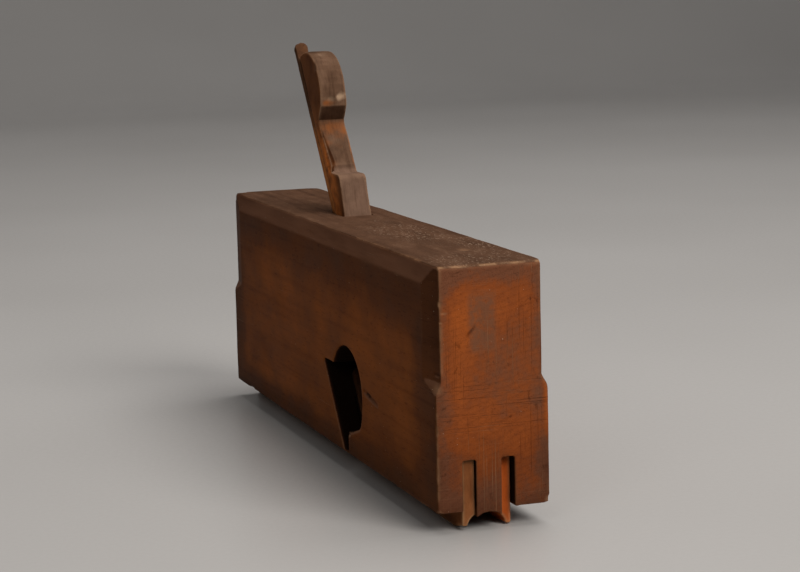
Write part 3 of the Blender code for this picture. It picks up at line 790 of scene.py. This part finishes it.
def top_scuffs(points):
    x, y, _ = points.T
    scuffed = np.zeros(len(points))
    for strength, centre_x, from_toe, wide, long in SCUFFS:
        away = np.hypot((x - centre_x) / wide, (y - TOE - from_toe) / long)
        scuffed = np.maximum(scuffed, strength * fade(away, 0.4, 1.2))
    return scuffed * (0.35 + 0.65 * smooth_step(layered(points, 90, 77), -0.5, 0.3))


def hollow_places(points):
    """How much painted shade each point gets deep in a hollow, from 0 to 1, and which points are outside."""
    x, y, z = points.T
    slots = (z < SLIP_TOP + 2 * MM) & (z > FLATS + FLATS_RIM) & (np.abs(x - RIDGE_X) < SLOTS_HALF_WIDTH)
    slots &= (y > TOE + SLOTS_RIM) & (y < HEEL - SLOTS_RIM)
    middle = np.abs(y) < HOLLOWS_END
    mouth = middle & (np.abs(x) < SIDE - MOUTH_RIM) & (z < TOP - MOUTH_ROOF) & (z > FLATS + FLATS_RIM)
    mortise = middle & (np.abs(x) < MORTISE_HALF_WIDTH) & (z < TOP - TOP_RIM) & (z > TOP - MORTISE_DEPTH)
    mouth_shade = np.where(mouth, smooth_step(SIDE - np.abs(x), -1.5 * MM, 1.5 * MM), 0.0)
    return np.where(slots | mortise, 1.0, mouth_shade), 1 - (slots | mortise | mouth)


def stock_masks(mesh, points, normals):
    """Where the stock is warm, dirty or dry, where it is darker at the toe's edges and bottom, and where it
    gets painted shade under its flats and in its cavities. Returns which points are outside.
    """
    x, y, z = points.T
    flank = np.abs(normals[:, 0]) > 0.6
    side_warm, side_dirt = side_colours(points)
    toe_warm_and_highlight, toe_darkening = toe_colours(points)
    # Painted shade under the flats and down the ridge to its foot
    under_flats_shade = smooth_step(-z, -(FLATS + 1 * MM), -1 * MM) * 0.7
    stamp = np.maximum(*np.abs(halves_away(x, z, STAMP_MIDDLE, STAMP_HALF))) + 0.12 * layered(points, 400, 79)
    painted_cave_shade, outside = hollow_places(points)
    write_mask(mesh, "warm", np.where(flank, side_warm, toe_warm_and_highlight))
    write_mask(mesh, "grime_and_shade", np.maximum(np.where(flank, side_dirt, toe_darkening), under_flats_shade))
    write_mask(mesh, "scuffed", top_scuffs(points))
    write_mask(mesh, "rubbed", fade(stamp, 0.80, 1.12) * (y < TOE + 3 * MM))
    write_mask(mesh, "painted_cave_shade", painted_cave_shade)
    return outside


def arris_chips_and_highlights(points):
    """Chips and a painted highlight along the toe's top arris, and a painted highlight line along its left
    chamfer, from 0 to 1 each.
    """
    x, y, z = points.T
    from_arris = np.hypot(y - TOE - 0.8 * MM, z - TOP + 0.5 * MM)
    chips_and_highlight = fade(from_arris, 0.3 * MM, 0.7 * MM) * smooth_step(layered(points, 350, 83), -0.6, 0.1)
    from_chamfer = np.hypot(x + SIDE - CHAMFER, y - TOE)
    line = fade(from_chamfer, 0.4 * MM, 0.9 * MM) * (z > CHAMFER_STOP + 4 * MM)
    line *= smooth_step(layered(points, 200, 85), -0.5, 0.3)
    return chips_and_highlight, line


def build_stock(look):
    piece = even_copy("plane_stock_body", "stock", STOCK_VOXEL, STOCK_EASE)
    mesh = piece.data
    points = read_points(mesh)
    normals = read_normals(mesh)
    in_slots = (points[:, 2] < SLIP_TOP + 3 * MM) & (np.abs(points[:, 0] - RIDGE_X) < 10 * MM)
    exposed = np.where(in_slots, 0.25, 1.0)
    wear = edge_mask(mesh, points, 7, 0.18 * MM) * exposed
    worn = 0.5 + 0.5 * layered(points, (110, 90, 110), 31)
    points -= normals * (wear * (0.05 + 0.42 * worn**2) * MM)[:, None]
    points -= normals * (0.06 * MM * exposed * (1 + layered(points, (45, 30, 45), 33)))[:, None]
    raw_and_highlight = np.zeros(len(points))
    scar_and_shadow = np.zeros(len(points))
    for sunk, shift, tone in all_marks(points, STOCK_GOUGES, STOCK_DENTS):
        points += shift
        depth = np.clip(sunk / (0.4 * MM), 0, 1)
        raw_and_highlight = np.maximum(raw_and_highlight, depth * max(tone, 0))
        scar_and_shadow = np.maximum(scar_and_shadow, depth * max(-tone, 0))
    write_points(mesh, points)
    outside = stock_masks(mesh, points, normals)
    chips_and_highlight, line = arris_chips_and_highlights(points)
    # The heel's half is less worn, and so is the strip of the side just behind the toe's chamfer.
    y = points[:, 1]
    kept = 1 - 0.6 * smooth_step(y, TOE + 40 * MM, TOE + 110 * MM)
    kept *= 1 - 0.75 * smooth_step(y, TOE + 1.5 * MM, TOE + 2.5 * MM) * (y < TOE + 8 * MM)
    write_mask(mesh, "wear", wear * smooth_step(worn, 0.25, 0.65) * outside * kept)
    # Raw wood in dents and chips, and painted highlights on the arrises and the chamfer's stop
    write_mask(mesh, "raw_and_highlight", np.maximum.reduce([raw_and_highlight, 0.42 * chips_and_highlight, 0.17 * line]))
    # Dark scars, and the painted shadow above the chamfer's stop
    write_mask(mesh, "scar_and_shadow", scar_and_shadow)
    thin_out(piece, STOCK_KEEP)
    finish_piece(piece, "plane_stock", "stock", look)


# ---------------------------------------------------------------- the slips


SNUG = 0.24 * MM        # how far each side of a slip grows to fill its slot
JOINT_SNUG = 0.11 * MM  # and each end
WORN_END = 8.5 * MM     # how long and high the worn toe end of a row is
WORN_HEIGHT = 9 * MM
TOE_WEAR = {"left": 1.7 * MM, "right": 0.5 * MM}   # how much of its foot has gone


def build_slip(node, look, first, voxel):
    """One boxwood slip, as wide as its slot. first is how far the toe end of its foot is worn."""
    piece = even_copy(node + "_slip", node, voxel, SLIP_EASE)
    mesh = piece.data
    points = read_points(mesh)
    normals = read_normals(mesh)
    low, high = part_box(node)
    middle = (low + high) / 2
    wear = edge_mask(mesh, points, 4, 0.12 * MM)
    points[:, 0] += np.clip((points[:, 0] - middle.x) / (high.x - middle.x), -1, 1) * SNUG
    points[:, 1] += np.clip(normals[:, 1] * 1.5, -1, 1) * JOINT_SNUG * (not first or points[:, 1] > middle.y)
    points[:, 2] += smooth_step(points[:, 2], high.z - 3 * MM, high.z) * SNUG
    if first:
        end = smooth_step(low.y + WORN_END - points[:, 1], 0, WORN_END)
        points[:, 2] += end * fade(points[:, 2], 0, WORN_HEIGHT) * first
    points -= normals * (wear * (0.06 + 0.10 * layered(points, 300, 41)) * MM)[:, None]
    write_points(mesh, points)
    write_mask(mesh, "wear", wear)
    foot_dirt = smooth_step(layered(points, 160, 45), -0.2, 0.8) * 0.6
    # Dirt in blotches, and painted shade towards the slip's top, under the slot's roof
    write_mask(mesh, "grime_and_shade", foot_dirt + smooth_step(points[:, 2], high.z - 4 * MM, high.z) * 0.5)
    # Painted shade on the parts of the slip that show inside the mouth
    slip_mouth_shade = (np.abs(points[:, 1]) < 60 * MM) & (points[:, 2] > FLATS + FLATS_RIM)
    write_mask(mesh, "painted_cave_shade", slip_mouth_shade * 1.0)
    thin_out(piece, SLIP_KEEP)
    finish_piece(piece, "plane_stock", node, look)


def build_slips():
    looks = {
        "left": boxwood_look("boxwood_tan", TAN_RAMP, TAN_SEED),
        # Red boxwood, brightened with painted light
        "right": boxwood_look("boxwood_red_painted_bright", RED_RAMP_PAINTED_BRIGHT, RED_SEED),
    }
    for node in sorted(n for n in frame["nodes"] if n.startswith("boxing_")):
        side = node.split("_")[1]
        first = node.endswith("toe_1")
        voxel = SLIP_VOXEL if first else HIDDEN_SLIP_VOXEL
        build_slip(node, looks[side], TOE_WEAR[side] if first else 0.0, voxel)


# ---------------------------------------------------------------- the wedge


# The chamfers cut on the neck's front edges: width, and how much painted shade the right one gets
LEFT_CHAMFER = 2.7 * MM
RIGHT_CHAMFER, RIGHT_SHADE_SHARE = 1.6 * MM, 0.4
SOFT_ROUNDS = 60   # how often the shape is smoothed to get the rounded head and neck


def carve_neck(points, wedge_side, width):
    """Carves the chamfer of one front edge of the neck: widest at its stop, just above the shelf."""
    y, z = points[:, 1], points[:, 2]
    foot = np.array(NECK_FOOT)
    run = np.array(NECK_HEAD) - foot
    length = np.hypot(*run)
    along = ((y - foot[0]) * run[0] + (z - foot[1]) * run[1]) / length
    behind = ((y - foot[0]) * run[1] - (z - foot[1]) * run[0]) / length
    edge = WEDGE_LOW.x if wedge_side < 0 else WEDGE_HIGH.x
    inward = np.abs(points[:, 0] - edge)
    size = width * (1 - 0.72 * smooth_step(along, -2 * MM, length))
    size *= smooth_step(along, -3.6 * MM, -2.2 * MM) * fade(along, length - 1 * MM, length + 1.5 * MM)
    cut = np.clip(size - inward - np.clip(behind, 0, None), 0, None) / 2
    cut[(behind > 3 * width) | (behind < -1.0 * MM)] = 0
    points[:, 0] -= wedge_side * cut
    points[:, 1] += cut * run[1] / length
    points[:, 2] -= cut * run[0] / length
    # How much painted shade the chamfer gets
    return np.clip(cut / (0.25 * MM), 0, 1)


def build_wedge(look):
    piece = even_copy("wedge_body", "wedge", WEDGE_VOXEL, WEDGE_EASE)
    mesh = piece.data
    points = read_points(mesh)
    normals = read_normals(mesh)
    height = points[:, 2] - TOP
    wear = edge_mask(mesh, points, 6, 0.14 * MM)
    soft = smoothed(mesh, points, SOFT_ROUNDS)
    forward = smooth_step(-normals[:, 1] - normals[:, 2] * 0.2, -0.3, 0.3)
    neck = smooth_step(height, 15.5 * MM, 19 * MM) * fade(height, 31 * MM, 35 * MM)
    head = smooth_step(height, 40 * MM, 47 * MM)
    # A hand and a mallet have rounded the neck and the head; below the shelf it is still crisp.
    give = np.clip(0.5 * neck * forward + 0.6 * head, 0, 1)
    points += (soft - points) * give[:, None]
    # Each chamfer also gives its painted shade
    left_chamfer_shade = carve_neck(points, -1, LEFT_CHAMFER)
    chamfer_shade = np.maximum(left_chamfer_shade, RIGHT_SHADE_SHARE * carve_neck(points, 1, RIGHT_CHAMFER))
    above = smooth_step(height, -1 * MM, 3 * MM)
    worn = 0.5 + 0.5 * layered(points, 220, 51)
    points -= normals * (above * wear * (0.05 + 0.28 * worn**2) * MM)[:, None]
    points -= normals * (above * 0.10 * MM * (1 + layered(points, 120, 53)))[:, None]
    raw_and_highlight = np.zeros(len(points))
    for sunk, shift, tone in all_marks(points, [], WEDGE_DENTS):
        points += shift
        raw_and_highlight = np.maximum(raw_and_highlight, np.clip(sunk / (0.6 * MM), 0, 1) * tone)
    write_points(mesh, points)

    # The flank is worn orange towards the back and below, where the tang and a thumb rub it.
    flank = smooth_step(np.abs(normals[:, 0]), 0.5, 0.8)
    front_y = WEDGE_FRONT_Y + height / WEDGE_FRONT_SLOPE
    back_y = WEDGE_BACK_Y + height * BED.y / BED.z
    across = (points[:, 1] - front_y) / (back_y - front_y) + 0.06 * layered(points, 200, 63)
    low_flank = flank * fade(height, 20 * MM, 42 * MM) * smooth_step(across, 0.12, 0.55)
    middle_x = (WEDGE_LOW.x + WEDGE_HIGH.x) / 2
    leftward = (middle_x - points[:, 0]) / (WEDGE_HIGH.x - middle_x)
    rubbed = smooth_step(layered(points, 130, 57) + 0.35 * leftward, -0.20, 0.30)
    warm = np.maximum(low_flank, neck * forward * (1 - flank) * rubbed)
    # Painted shade on the faces under the head; the blotches beside it are dirt
    under = smooth_step(-normals[:, 2], 0.25, 0.6) * smooth_step(height, 28 * MM, 34 * MM)
    darkening = np.maximum(under, smooth_step(layered(points, 80, 59), 0.2, 0.8) * 0.5)
    size = np.array(BRUISE_SIZE) * MM
    bruise, _ = dent(points, spot(WEDGE_CORNER, BRUISE_MIDDLE), size, 1, NOWHERE, BRUISE_SEED)
    write_mask(mesh, "warm", np.maximum(warm, bruise))
    # Dirt, and painted shade on the chamfers and under the head
    write_mask(mesh, "grime_and_shade", np.maximum(darkening, chamfer_shade * 0.8) * (1 - bruise))
    write_mask(mesh, "grey", fade(height, 15 * MM, 20 * MM))
    write_mask(mesh, "wear", wear * above)
    # Raw wood in dents, partly a painted highlight on the head
    write_mask(mesh, "raw_and_highlight", raw_and_highlight)
    # Painted shade: darker inside the mortise, darker still down in the throat
    mortise_shade, throat_shade = smooth_step(-height, 0.5 * MM, 5 * MM), smooth_step(-height, 25 * MM, 42 * MM)
    write_mask(mesh, "painted_cave_shade", 0.5 * mortise_shade + 0.5 * throat_shade)
    thin_out(piece, WEDGE_KEEP)
    finish_piece(piece, "wedge", "wedge", look)


# ---------------------------------------------------------------- the iron


TIP_SPREAD = 0.10   # how much wider years of taps have made the tip of the tang


def build_iron(look):
    piece = even_copy("plane_iron", "iron", IRON_VOXEL, IRON_EASE)
    mesh = piece.data
    points = read_points(mesh)
    normals = read_normals(mesh)
    wear = edge_mask(mesh, points, 4, 0.12 * MM)
    blade = fade(points[:, 2], 4 * MM, 9 * MM)
    skin = layered(points, 420, 61)
    points -= normals * ((1 - 0.8 * blade) * 0.07 * MM * (1 + skin))[:, None]
    tip = smooth_step(points[:, 2], IRON_HIGH.z - 4.5 * MM, IRON_HIGH.z - 1.0 * MM)
    centre = points[points[:, 2] > IRON_HIGH.z - 5 * MM].mean(0)
    points[:, 0] += (points[:, 0] - centre[0]) * tip * TIP_SPREAD
    offset, size, depth, seed = TANG_DENT
    tip_middle = (centre[0], centre[1], IRON_HIGH.z)
    points += dent(points, spot(tip_middle, offset), np.array(size) * MM, depth * MM, IN_TOP, seed)[1]
    write_points(mesh, points)
    above = points[:, 2] - TOP
    write_mask(mesh, "bright", np.maximum(blade * 0.9, wear * 0.08 * smooth_step(above, -2 * MM, 0)))
    write_mask(mesh, "warm", smooth_step(above, -1 * MM, 1 * MM) * fade(above, 18 * MM, 40 * MM))
    # Painted shade below the stock's top, less of it near the mouth
    iron_throat_shade = 0.30 + 0.70 * smooth_step(points[:, 2], 10 * MM, 38 * MM)
    write_mask(mesh, "painted_cave_shade", smooth_step(-above, 0.5 * MM, 6 * MM) * iron_throat_shade)
    thin_out(piece, IRON_KEEP)
    finish_piece(piece, "iron", "iron", look)


# ---------------------------------------------------------------- stage


# The floor and the backdrop that it curves up into, in metres
FLOOR_HALF_WIDTH, FLOOR_NEAR, FLOOR_FAR = 3.5, -2.2, 1.7
CURVE_RADIUS, BACKDROP_TOP = 0.9, 2.6
FLOOR_RAMP = ((0.3, (0.43, 0.415, 0.40)), (0.7, (0.47, 0.455, 0.44)))

# Soft lights: name, place and diameter in metres, power in watts, colour
LIGHTS = [
    ("key_softbox", (0.55, -1.45, 1.25), 1.1, 26, (1.0, 0.97, 0.93)),
    ("top_softbox", (0.40, 0.10, 1.55), 1.4, 17.5, (1.0, 0.98, 0.96)),
    ("left_fill", (-1.1, -1.2, 1.15), 0.9, 4.2, (1.0, 0.97, 0.93)),
]
LIGHTS_AIM = (0, 0, 0.05)
AIR_COLOUR, AIR_STRENGTH = (0.97, 0.97, 1.0, 1.0), 0.11


def stage_look():
    look = Look("pale_floor")
    soft = look.noise((3, 3, 3), detail=2, rough=0.5)
    fine = look.noise((500, 500, 500), detail=2, rough=0.5, seed=2)
    colour = look.ramp(soft, *FLOOR_RAMP)
    return look.done(colour, look.step(fine, 0.3, 0.7, 0.30, 0.36), look.bump(fine, 0.02 * MM, 0.3))


def build_stage():
    """A floor that curves up into a backdrop."""
    profile = [(FLOOR_NEAR, 0.0), (FLOOR_FAR, 0.0)]
    for turn in range(6, 91, 6):
        rise = CURVE_RADIUS - CURVE_RADIUS * cos(radians(turn))
        profile.append((FLOOR_FAR + CURVE_RADIUS * sin(radians(turn)), rise))
    profile.append((FLOOR_FAR + CURVE_RADIUS, BACKDROP_TOP))
    points = [(x, y, z) for y, z in profile for x in (-FLOOR_HALF_WIDTH, FLOOR_HALF_WIDTH)]
    faces = [(2 * i, 2 * i + 1, 2 * i + 3, 2 * i + 2) for i in range(len(profile) - 1)]
    mesh = bpy.data.meshes.new("studio_floor")
    mesh.from_pydata(points, [], faces)
    mesh.materials.append(stage_look())
    mesh.shade_smooth()
    floor = bpy.data.objects.new("studio_floor", mesh)
    bpy.context.scene.collection.objects.link(floor)


def build_lights():
    for name, place, size, power, colour in LIGHTS:
        lamp = bpy.data.lights.new(name, "AREA")
        lamp.shape = "DISK"
        lamp.size = size
        lamp.energy = power
        lamp.color = colour
        made = bpy.data.objects.new(name, lamp)
        made.location = place
        made.rotation_euler = (Vector(LIGHTS_AIM) - Vector(place)).to_track_quat("-Z", "Y").to_euler()
        bpy.context.scene.collection.objects.link(made)
    world = bpy.data.worlds.new("studio_air")
    world.use_nodes = True
    background = world.node_tree.nodes["Background"]
    background.inputs["Color"].default_value = AIR_COLOUR
    background.inputs["Strength"].default_value = AIR_STRENGTH
    bpy.context.scene.world = world
    bpy.context.scene.view_settings.view_transform = "Standard"


def build_camera():
    ahead = cos(CAMERA_PITCH)
    forward = Vector((sin(CAMERA_YAW) * ahead, cos(CAMERA_YAW) * ahead, sin(CAMERA_PITCH)))
    level = forward.cross(Vector((0, 0, 1))).normalized()
    upright = level.cross(forward)
    right = level * cos(CAMERA_ROLL) + upright * sin(CAMERA_ROLL)
    up = upright * cos(CAMERA_ROLL) - level * sin(CAMERA_ROLL)
    data = bpy.data.cameras.new("camera")
    data.lens = CAMERA_LENS
    data.sensor_width = SENSOR
    data.clip_start = CLIP_START
    made = bpy.data.objects.new("camera", data)
    turn = Matrix((right, up, -forward)).transposed().to_4x4()
    made.matrix_world = Matrix.Translation(CAMERA_PLACE) @ turn
    bpy.context.scene.collection.objects.link(made)
    bpy.context.scene.camera = made


def build():
    build_camera()
    build_stage()
    build_lights()
    build_stock(beech_look())
    build_slips()
    build_wedge(wedge_look())
    build_iron(iron_look())


build()
